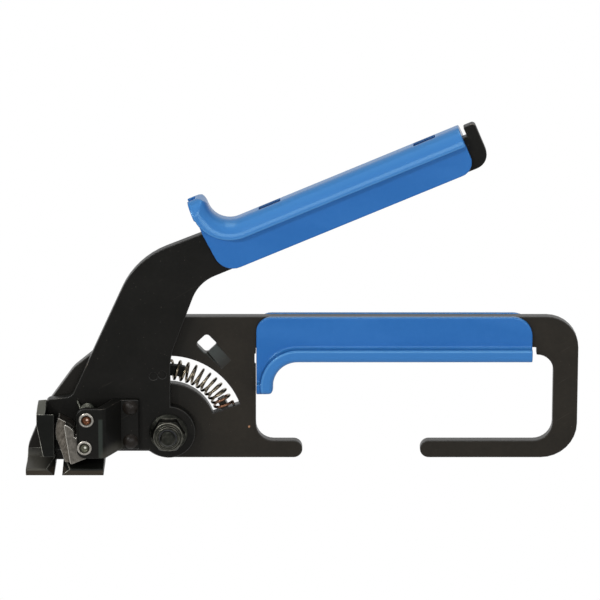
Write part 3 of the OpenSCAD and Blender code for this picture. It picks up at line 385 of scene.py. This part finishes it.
def turned_steel(name, at, dark, light, matt, cup=None):
    """Metal with lathe rings round a centre, and a cup in it where that has a colour."""
    s = Shader(name)
    far = s.radius(*at)
    rings = (far * (2 * math.pi / RING_PITCH)).sine() * 0.5 + 0.5
    stain = s.noise(0.9)
    grain = s.noise(9.0, detail=3.0)
    color = s.mix((0.5 * stain + 0.3 * rings + 0.2 * grain).ramp(0.3, 0.7), dark, light)
    if cup:
        # Painted shade in a ring round the cup, and a painted glint in it
        color = s.mix(far.ramp(CUP_R + 0.42, CUP_R + 0.28), color, SHADE_ROUND_CUP)
        color = s.mix(far.ramp(CUP_R + 0.05, CUP_R - 0.1), color, cup)
        painted_glint = s.radius(at[0] + 0.3, at[1] + 0.1).ramp(0.62, 0.3)
        color = s.mix(0.85 * painted_glint, color, [min(255, c + 150) for c in cup])
    rough = matt + 0.12 * (stain - 0.5) + 0.08 * (rings - 0.5)
    return s.finish(color, rough, 1.0, rings + grain, LATHE_DEPTH)


def ground_steel(name, dark, light, turn):
    """Hardened steel with grinding lines along one direction."""
    s = Shader(name)
    lines = s.noise(4.0, detail=3.0, stretch=(0.06, 1, 1), turn=turn)
    stain = s.noise(0.5, detail=5.0, rough=0.62)
    rust = s.noise(1.8, detail=3.0).ramp(0.62, 0.72)
    color = s.mix((0.5 * lines + 0.5 * stain).ramp(0.34, 0.68), dark, light)
    color = s.mix(0.4 * rust, color, RUST_STAIN)
    rough = 0.33 + 0.2 * (lines - 0.5) + 0.15 * (stain - 0.5)
    return s.finish(color, rough, 0.9, lines, GRAIN_DEPTH)


def spring_wire(name, dark, light, metal):
    """Drawn wire under an oil film, coppery where the return spring stands on its seat."""
    s = Shader(name)
    tint = s.noise(0.35, detail=3.0)
    draw = s.noise(5.0, detail=3.0)
    color = s.mix(tint.ramp(0.36, 0.66), dark, light)
    color = s.mix(s.radius(*SPRING_SEAT).ramp(5.2, 3.0), color, COPPERY)
    return s.finish(color, 0.2 + 0.16 * (draw - 0.5), metal, draw, LATHE_DEPTH)


def plain_metal(name, dark, light, matt, metal=1.0):
    """Turned or pressed metal, or nylon, with a faint stain and grain."""
    s = Shader(name)
    stain = s.noise(0.6)
    grain = s.noise(8.0, detail=3.0)
    color = s.mix((0.7 * stain + 0.3 * grain).ramp(0.35, 0.68), dark, light)
    return s.finish(color, matt + 0.15 * (stain - 0.5), metal, grain, LATHE_DEPTH)


# Painted light and shade on the blackened pieces, besides a chip, a brown band and a darker slot
# end: their colours, and where they fade in or out

# Painted shadow of the lever on the frame's face
LEVER_SHADOW_ON_FRAME = (20, 19, 16)
LEVER_SHADOW_X = (24.0, 4.0)
LEVER_SHADOW_Y = (2.2, 1.2)
CHIP = (190, 140, 104)
CHIP_AT = (32.4, 0.8)
# Painted highlight on the jaw's upper slope
JAW_SLOPE_HIGHLIGHT = (84, 84, 76)
JAW_SLOPE_HIGHLIGHT_Z = (11.25, 11.4)
# Painted highlight low on the feet's slopes
FOOT_SLOPE_HIGHLIGHT = (76, 74, 67)
FOOT_SLOPE_HIGHLIGHT_X = (-44.0, -53.0)
FOOT_SLOPE_HIGHLIGHT_Z = (-6.5, -12.2)
BROWN_TOE = (52, 46, 38)
BROWN_TOE_Z = (-12.0, -12.3)
# Painted highlights on the bracket's bend and on the lever's lower edge behind it
BEND_HIGHLIGHT = (46, 51, 47)
BEND_X = ((-27.6, -27.3), (-26.1, -25.5))
BEND_Y = (-6.0, -7.0)
BEND_Z = (10.4, 9.6)
LEVER_EDGE_HIGHLIGHT = (82, 80, 72)
LEVER_EDGE_HIGHLIGHT_AT = (-22.5, -6.5)
DARK_SLOT_END = (17, 16, 14)
DARK_SLOT_END_AT = (23.0, 8.0)
# Painted light on the ramp, palest near the square hole
RAMP_LIGHT_NEAR = (44, 50, 47)
RAMP_LIGHT_FAR = (30, 28, 24)
RAMP_AT = (19.0, 32.0)
SQUARE_HOLE_AT = (15.5, 35.5)


def frame_shadow_and_chip(s, paint):
    """The frame's face has painted shadow beside the lever, where the lever's shadow falls, with
    a small chip low behind the grip.
    """
    lever_shadow = s.along("X").ramp(*LEVER_SHADOW_X) * s.along("Y").ramp(*LEVER_SHADOW_Y)
    paint = s.mix(0.8 * lever_shadow, paint, LEVER_SHADOW_ON_FRAME)
    chip = s.radius(*CHIP_AT) + 0.7 * (s.noise(2.0, rough=0.55) - 0.5)
    return s.mix(0.8 * chip.ramp(0.62, 0.3), paint, CHIP)


def jaw_highlight(s, paint):
    """The jaw's upper slope is painted paler, a painted highlight where it faces up."""
    return s.mix(s.along("Z").ramp(*JAW_SLOPE_HIGHLIGHT_Z), paint, JAW_SLOPE_HIGHLIGHT)


def foot_highlight_and_band(s, paint):
    """The feet are painted paler low on their slopes, a painted highlight where they turn up,
    with a brown band along the toes.
    """
    z = s.along("Z")
    slope = z.ramp(*FOOT_SLOPE_HIGHLIGHT_Z) * s.along("X").ramp(*FOOT_SLOPE_HIGHLIGHT_X)
    paint = s.mix(0.9 * slope, paint, FOOT_SLOPE_HIGHLIGHT)
    return s.mix(z.ramp(*BROWN_TOE_Z), paint, BROWN_TOE)


def lever_highlights(s, paint):
    """The bracket's bend and the lever's lower edge behind it are painted paler, as painted
    highlights.
    """
    bend = s.along("X").band(*BEND_X) * s.along("Y").ramp(*BEND_Y) * s.along("Z").ramp(*BEND_Z)
    paint = s.mix(bend, paint, BEND_HIGHLIGHT)
    return s.mix(0.75 * s.radius(*LEVER_EDGE_HIGHLIGHT_AT).ramp(6.0, 1.5), paint, LEVER_EDGE_HIGHLIGHT)


def ramp_light_and_slot_end(s, paint):
    """The ramp has painted light, palest beside the square hole, and the spring slot's low end is
    darker.
    """
    paint = s.mix(s.radius(*DARK_SLOT_END_AT).ramp(7.5, 5.5), paint, DARK_SLOT_END)
    ramp = s.radius(*RAMP_AT).ramp(7.5, 6.5) * s.facing(TO_FRONT).ramp(0.3, 0.5)
    tone = s.mix(s.radius(*SQUARE_HOLE_AT).ramp(4.0, 12.5), RAMP_LIGHT_NEAR, RAMP_LIGHT_FAR)
    return s.mix(ramp, paint, tone)


frame_black = black_steel("frame_black", (31, 28, 23), (42, 38, 32), mark=frame_shadow_and_chip)
lever_black = black_steel("lever_black", (16, 16, 14), (25, 24, 22), level=0.08, mark=lever_highlights)
jaw_black = black_steel(
    "jaw_black", (13, 14, 12), (22, 23, 20), matt=0.44, level=0.08, mark=jaw_highlight
)
foot_black = black_steel(
    "foot_black", (13, 14, 12), (22, 23, 20), matt=0.44, level=0.12, mark=foot_highlight_and_band
)
rivet_black = black_steel("rivet_black", (23, 20, 17), (33, 28, 24), matt=0.36, level=0.16)
frame_edge = worn_edge_and_highlight(
    "frame_edge", (44, 42, 38), (140, 132, 120), cover=0.6, down_right_shade=0.8, mark=ramp_light_and_slot_end
)
lever_wall = worn_edge_and_highlight(
    "lever_wall", (24, 24, 22), (90, 86, 78), cover=0.62, matt=0.42, level=0.25
)
lever_edge = worn_edge_and_highlight("lever_edge", (27, 26, 24), (138, 127, 113), cover=0.54, down_right_shade=0.96)
jaw_edge = worn_edge_and_highlight("jaw_edge", (24, 25, 23), (196, 194, 182), cover=0.44, matt=0.34, down_right_shade=0.92)
rivet_edge = worn_edge_and_highlight("rivet_edge", (44, 39, 36), (120, 112, 104), cover=0.56, matt=0.34)
steel_edge = worn_edge_and_highlight(
    "steel_edge", (86, 82, 76), (240, 236, 226), cover=0.26, matt=0.26, level=0.5, down_right_shade=0.85
)
frame_blue = moulded_blue(
    "frame_blue",
    slope=0.0,
    horn_at=(52.3, 19.2),
    horn_r=FRAME_HORN_R,
    bead_h=FRAME_BEAD_H,
    bead_front=PLATE_MID - BEAD_W / 2,
)
lever_blue = moulded_blue(
    "lever_blue",
    slope=HANDLE_ANGLE,
    horn_at=(61.1, 80.0),
    horn_r=LEVER_HORN_R,
    bead_h=LEVER_BEAD_H,
    bead_front=LEVER_MID - BEAD_W / 2,
    slots=(74.4, 140.9),
)
pawl_steel = ground_steel("pawl_steel", (66, 61, 55), (122, 116, 107), turn=62.0)
cheek_steel = ground_steel("cheek_steel", (78, 75, 70), (118, 114, 107), turn=80.0)
long_wire = spring_wire("wire", (78, 70, 58), (138, 128, 110), metal=1.0)
short_wire = spring_wire("short_wire", (58, 60, 53), (110, 111, 101), metal=0.7)
fastener = plain_metal("fastener", (36, 37, 33), (58, 58, 53), matt=0.32)
fastener_edge = plain_metal("fastener_edge", (66, 66, 60), (112, 110, 101), matt=0.3)
bronze = plain_metal("bronze", (120, 84, 46), (176, 134, 82), matt=0.36)
nylon = plain_metal("nylon", (40, 41, 44), (60, 61, 64), matt=0.5, metal=0.0)
washer_steel = turned_steel("washer_steel", (0, 0), (110, 106, 98), (160, 154, 144), matt=0.28)
stop_steel = turned_steel(
    "stop_steel", STOP_AT, (112, 109, 102), (184, 180, 172), matt=0.3, cup=(90, 58, 40)
)
pin_steel = turned_steel(
    "pin_steel", PIN_AT, (120, 116, 108), (186, 182, 174), matt=0.3, cup=(88, 88, 76)
)


# Pieces made from the solids, with rounded edges that are worn and carry painted highlights

# Edges that turn more than SHARP_EDGE are rounded. A face looks forward or back where its
# normal's share along Y is FACE_SHARE or more. SAME_POINT is in metres.
SHARP_EDGE = math.radians(28.0)
SAME_PLANE = math.radians(0.5)
SAME_POINT = 1e-7
FACE_SHARE = 0.97
CAST_GRID = 0.3
CAST_PASSES = 3


def settle(piece, node):
    """Puts a finished piece on its node's body and in its stead."""
    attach(piece, BODY[node])
    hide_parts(node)


def show(node, mesh, materials, smooth):
    """Makes the piece that stands for a node; edges sharper than smooth degrees stay sharp."""
    for material in materials:
        mesh.materials.append(material)
    mesh.polygons.foreach_set("use_smooth", [True] * len(mesh.polygons))
    mesh.set_sharp_from_angle(angle=math.radians(smooth))
    piece = bpy.data.objects.new(node + "_form", mesh)
    bpy.context.scene.collection.objects.link(piece)
    return piece


def to_mesh(bm, node):
    """The finished mesh of the piece that stands for a node."""
    mesh = bpy.data.meshes.new(node + "_form")
    bm.to_mesh(mesh)
    bm.free()
    return mesh


def keep_inside(bm, node):
    """Holds every corner inside the node's box."""
    low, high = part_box(node)
    for v in bm.verts:
        v.co = [min(max(c, a), b) for c, a, b in zip(v.co, low, high)]


def rounded(node, width, materials, steps=3, walls=0):
    """The node's solid with every sharp edge rounded by width millimetres.

    The faces that look forward or back take the first of the materials, the others
    materials[walls], and the rounded rims the last.
    """
    bm = bmesh.new()
    bm.from_mesh(frame["nodes"][node].data)
    bmesh.ops.remove_doubles(bm, verts=bm.verts, dist=SAME_POINT)
    bmesh.ops.dissolve_limit(bm, angle_limit=SAME_PLANE, verts=bm.verts, edges=bm.edges)
    for face in bm.faces:
        face.material_index = walls if abs(face.normal.y) < FACE_SHARE else 0
    bmesh.ops.bevel(
        bm,
        geom=[e for e in bm.edges if e.calc_face_angle(0.0) > SHARP_EDGE],
        offset=width * MM,
        offset_type="OFFSET",
        segments=steps,
        profile=0.5,
        affect="EDGES",
        clamp_overlap=False,
        material=len(materials) - 1,
    )
    keep_inside(bm, node)
    piece = show(node, to_mesh(bm, node), materials, smooth=32.0)
    even = piece.modifiers.new("Even faces", "WEIGHTED_NORMAL")
    even.keep_sharp = True
    settle(piece, node)


def moulded(node, material, slope=0.0):
    """The node's solid cast again on a fine even grid in its own lie, all edges softened."""
    cast = bpy.data.objects.new(node + "_cast", frame["nodes"][node].data.copy())
    bpy.context.scene.collection.objects.link(cast)
    lie = Matrix.Rotation(math.radians(slope), 4, "Y")
    cast.data.transform(lie)
    melt = cast.modifiers.new("Even grid", "REMESH")
    melt.mode = "VOXEL"
    melt.voxel_size = CAST_GRID * MM
    bpy.context.view_layer.update()
    melted = cast.evaluated_get(bpy.context.evaluated_depsgraph_get())
    mesh = bpy.data.meshes.new_from_object(melted)
    bpy.data.objects.remove(cast)
    mesh.transform(lie.inverted())
    bm = bmesh.new()
    bm.from_mesh(mesh)
    bpy.data.meshes.remove(mesh)
    for _ in range(CAST_PASSES):
        bmesh.ops.smooth_vert(
            bm, verts=bm.verts, factor=0.5, use_axis_x=True, use_axis_y=True, use_axis_z=True
        )
    keep_inside(bm, node)
    settle(show(node, to_mesh(bm, node), [material], smooth=180.0), node)


rounded("frame_plate", 0.32, [frame_black, frame_edge], walls=1)
rounded("lever_plate", 0.3, [lever_black, lever_wall, lever_edge], walls=1)
rounded("foot_left", 0.22, [foot_black, jaw_edge])
rounded("foot_right", 0.22, [foot_black, jaw_edge])
rounded("foot_screws", 0.12, [fastener, fastener_edge], steps=2)
moulded("frame_grip", frame_blue)
moulded("lever_grip", lever_blue, HANDLE_ANGLE)
rounded("anvil_jaw", 0.18, [jaw_black, jaw_edge])
rounded("gripper_bracket", 0.22, [lever_black, lever_edge])
rounded("gripper_pawl", 0.12, [pawl_steel, steel_edge], steps=2)
rounded("gripper_cheek", 0.2, [cheek_steel, steel_edge], steps=2)
rounded("pivot_nut", 0.2, [fastener, fastener_edge])
rounded("pivot_washer", 0.15, [fastener, fastener_edge], steps=2)
rounded("bracket_rivets", 0.1, [rivet_black, rivet_edge], steps=2)
rounded("stop_pin", 0.12, [stop_steel], steps=2)
rounded("gripper_pin", 0.12, [pin_steel], steps=2)
rounded("spring_post", 0.2, [lever_black, lever_edge])
rounded("jaw_screws", 0.1, [fastener], steps=2)
rounded("post_rivets", 0.1, [lever_black], steps=2)

for node, material in {
    "pivot_bolt": fastener,
    "pivot_bush": bronze,
    "thrust_washer": washer_steel,
    "nut_insert": nylon,
    "gripper_bush": bronze,
    "gripper_dowels": pin_steel,
}.items():
    slots = frame["nodes"][node].data.materials
    slots.clear()
    slots.append(material)


# Springs, with the sizes of the part's source and finer steps

WIRE_SIDES = 12
STEPS_PER_CURL = 28


def swept(node, path, radius, material, side):
    """A round wire along a list of points in millimetres about the pivot.

    side is any direction across the wire's first stretch.
    """
    points = [spot(*p) for p in path]
    turns = [2 * math.pi * k / WIRE_SIDES for k in range(WIRE_SIDES)]
    bm = bmesh.new()
    rings = []
    side = Vector(side)
    for i, p in enumerate(points):
        along = (points[min(i + 1, len(points) - 1)] - points[max(i - 1, 0)]).normalized()
        side = (side - along * side.dot(along)).normalized()
        up = along.cross(side)
        arms = [radius * MM * (math.cos(t) * side + math.sin(t) * up) for t in turns]
        rings.append([bm.verts.new(p + arm) for arm in arms])
    for a, b in zip(rings, rings[1:]):
        for k in range(WIRE_SIDES):
            j = (k + 1) % WIRE_SIDES
            bm.faces.new((a[k], a[j], b[j], b[k]))
    bm.faces.new(rings[0][::-1])
    bm.faces.new(rings[-1])
    bmesh.ops.recalc_face_normals(bm, faces=bm.faces)
    return show(node, to_mesh(bm, node), [material], smooth=60.0)


# Return spring
SPRING_PATH_R = 24.2
SPRING_R = 4.25
SPRING_WIRE_R = 0.56
COIL_R = SPRING_R - SPRING_WIRE_R
SPRING_CURLS = 10
PITCH_SWING_SHARE = 0.14
POST_FACE_ANGLE = 90.6
SLOT_END_ANGLE = 20.0
SPRING_SEAT_PLAY = 0.15
ARC_DEG = 180 / math.pi
SEAT_HIGH = POST_FACE_ANGLE - SPRING_SEAT_PLAY / SPRING_PATH_R * ARC_DEG
SEAT_LOW = SLOT_END_ANGLE + SPRING_SEAT_PLAY / SPRING_PATH_R * ARC_DEG
COIL_HIGH = SEAT_HIGH - 2 * SPRING_WIRE_R / SPRING_PATH_R * ARC_DEG
COIL_LOW = SEAT_LOW + 2 * SPRING_WIRE_R / SPRING_PATH_R * ARC_DEG


def spring_point(angle, turn):
    """A point of the wire: angle is in degrees round the pivot, turn in radians of its curl."""
    out = SPRING_PATH_R + COIL_R * math.cos(turn)
    a = math.radians(angle)
    return (out * math.cos(a), PLATE_MID + COIL_R * math.sin(turn), out * math.sin(a))


def spring_path():
    """From the post on the lever, at the high end, to the frame's tongue."""
    count = SPRING_CURLS * STEPS_PER_CURL
    path = [spring_point(SEAT_HIGH, 0)]
    for i in range(count + 1):
        s = i / count
        share = s * (1 + PITCH_SWING_SHARE) - PITCH_SWING_SHARE * s * s
        angle = COIL_HIGH + (COIL_LOW - COIL_HIGH) * share
        path.append(spring_point(angle, 2 * math.pi * i / STEPS_PER_CURL))
    return path + [spring_point(SEAT_LOW, 0)]


# On the tool, the curls between the frame's tongue and the lever's post close up as the lever
# turns; here the spring is swept once, in one piece, and put on no body
return_spring = swept("return_spring", spring_path(), SPRING_WIRE_R, long_wire, side=(0, 1, 0))
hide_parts("return_spring")
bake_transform(return_spring)

# Gripper spring
TORSION_R = 2.7
TORSION_WIRE_R = 0.4
TORSION_CURLS = 4
TORSION_GAP = 0.5
TORSION_Y = -6.4
TORSION_ANCHOR = Vector((-36.4, 13.3))
TORSION_PUSH = Vector((-36.8, 3.4))
ANCHOR_END_Y = -3.0


def leg_angle(to, way):
    """Where a straight leg to that place leaves the curls; way is 1 or -1 for its side."""
    reach = to - Vector(STOP_AT)
    return math.atan2(reach.y, reach.x) + way * math.acos(TORSION_R / reach.length)


def torsion_path():
    """A leg held in the lever, the curls round the stop pin and a leg on the gripper."""
    start = leg_angle(TORSION_ANCHOR, 1)
    # The legs' angles make the last curl a part of a turn
    lap = math.degrees(leg_angle(TORSION_PUSH, -1) - start)
    turn = 360 * TORSION_CURLS + lap - 360 * math.ceil(lap / 360)
    drop = (2 * TORSION_WIRE_R + TORSION_GAP) * turn / 360
    count = round(turn / 360 * STEPS_PER_CURL)
    middle = Vector(STOP_AT)
    lean = (middle - TORSION_ANCHOR).normalized() * TORSION_WIRE_R
    path = [
        (TORSION_ANCHOR.x, ANCHOR_END_Y, TORSION_ANCHOR.y),
        (TORSION_ANCHOR.x, TORSION_Y + TORSION_WIRE_R, TORSION_ANCHOR.y),
        (TORSION_ANCHOR.x + lean.x, TORSION_Y, TORSION_ANCHOR.y + lean.y),
    ]
    for i in range(count + 1):
        a = start + math.radians(turn) * i / count
        p = middle + TORSION_R * Vector((math.cos(a), math.sin(a)))
        path.append((p.x, TORSION_Y - drop * i / count, p.y))
    return path + [(TORSION_PUSH.x, TORSION_Y - drop, TORSION_PUSH.y)]


# On the tool, the gripper spring's last leg follows the gripper and the rest stays with the
# lever; here it is swept once, in one piece, and put on no body
gripper_path = torsion_path()
gripper_spring = swept(
    "gripper_spring", gripper_path, TORSION_WIRE_R, short_wire, side=(1, 0, 0)
)
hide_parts("gripper_spring")
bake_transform(gripper_spring)


# Floor, sky, lights and camera

WHITE = (1, 1, 1, 1)
FLOOR_GREY = (0.5, 0.5, 0.5, 1)
FLOOR_HALF = 4
FLOOR_DROP = 0.0002
SKY_TINT = (0.97, 0.985, 1, 1)
SKY_STRENGTH = 0.38
BRIGHT_SKY = (-0.45, 0.75, 0.5)
VIEW_MIDDLE = Vector((96.84, 8.75, 68.1)) * MM
CAMERA_AWAY = 1.7
CAMERA_RISE = math.radians(16)
CAMERA_LENS = 255


def shared_white(nodes, white, plain, mirrored):
    """White to the camera, through clear pieces and, as much as mirrored says, in mirror rays.

    Other rays meet the plain shader, which lights the object.
    """
    to_camera, through, mirror = (
        nodes.node("ShaderNodeLightPath", {}, {}, ray)
        for ray in ("Is Camera Ray", "Is Transmission Ray", "Is Glossy Ray")
    )
    seen = to_camera.most(through).most(mirror * mirrored)
    return nodes.node("ShaderNodeMixShader", {}, {0: seen, 1: plain, 2: white})


def make_floor():
    """A plain floor that keeps the tool's shadow and looks white."""
    bm = bmesh.new()
    bmesh.ops.create_grid(bm, x_segments=1, y_segments=1, size=FLOOR_HALF)
    mesh = bpy.data.meshes.new("floor")
    bm.to_mesh(mesh)
    bm.free()
    floor = bpy.data.objects.new("floor", mesh)
    floor.location = (0, 0, cad_low.z - FLOOR_DROP)
    bpy.context.scene.collection.objects.link(floor)
    s = Shader("floor_white")
    s.fill(s.surface, {"Base Color": FLOOR_GREY, "Roughness": 0.9})
    plain = Value(s, s.surface.outputs[0])
    glow = s.node("ShaderNodeEmission", {}, {"Color": WHITE})
    # Mirror rays meet less white on the floor in front of the object
    mirrored = 0.3 + 0.7 * s.part(s.place, "Y").ramp(-120.0, 50.0)
    s.fill(
        s.tree.nodes["Material Output"], {"Surface": shared_white(s, glow, plain, mirrored)}
    )
    mesh.materials.append(s.material)


def make_sky():
    """Even soft light from all sides, seen as white."""
    world = bpy.data.worlds.new("studio")
    bpy.context.scene.world = world
    world.use_nodes = True
    sky = Nodes(world.node_tree)
    background = sky.tree.nodes["Background"]
    sky.fill(background, {"Color": SKY_TINT, "Strength": SKY_STRENGTH})
    plain = Value(sky, background.outputs[0])
    white = sky.node("ShaderNodeBackground", {}, {"Color": WHITE})
    # Mirror rays meet the white behind, above and to the left, and a dim room elsewhere
    way = sky.node("ShaderNodeTexCoord", {}, {}, "Generated")
    mirrored = 0.15 + 0.85 * sky.vector("DOT_PRODUCT", way, BRIGHT_SKY, "Value").ramp(-0.35, 0.45)
    sky.fill(
        sky.tree.nodes["World Output"], {"Surface": shared_white(sky, white, plain, mirrored)}
    )


def aim(thing, place):
    """Puts a lamp or the camera at a place and turns it to the middle of the view."""
    thing.location = place
    thing.rotation_mode = "QUATERNION"
    thing.rotation_quaternion = (VIEW_MIDDLE - thing.location).to_track_quat("-Z", "Y")
    bpy.context.scene.collection.objects.link(thing)


def softbox(name, place, width, height, watts):
    """A lamp with a soft rectangular face."""
    data = bpy.data.lights.new(name, "AREA")
    data.shape = "RECTANGLE"
    data.size = width
    data.size_y = height
    data.energy = watts
    aim(bpy.data.objects.new(name, data), place)


make_floor()
make_sky()
softbox("top", (0.0, 0.0, 1.3), width=0.8, height=0.6, watts=4)
softbox("front_left", (-0.8, -1.3, 0.75), width=0.22, height=0.22, watts=9)
softbox("front_low", (0.35, -1.7, 0.15), width=1.5, height=1.0, watts=19)

camera = bpy.data.objects.new("camera", bpy.data.cameras.new("camera"))
from_middle = Vector((0, -math.cos(CAMERA_RISE), math.sin(CAMERA_RISE)))
aim(camera, VIEW_MIDDLE + CAMERA_AWAY * from_middle)
camera.data.lens = CAMERA_LENS
camera.data.sensor_width = 36
camera.data.clip_end = 20
bpy.context.scene.camera = camera
bpy.context.scene.view_settings.view_transform = "Standard"
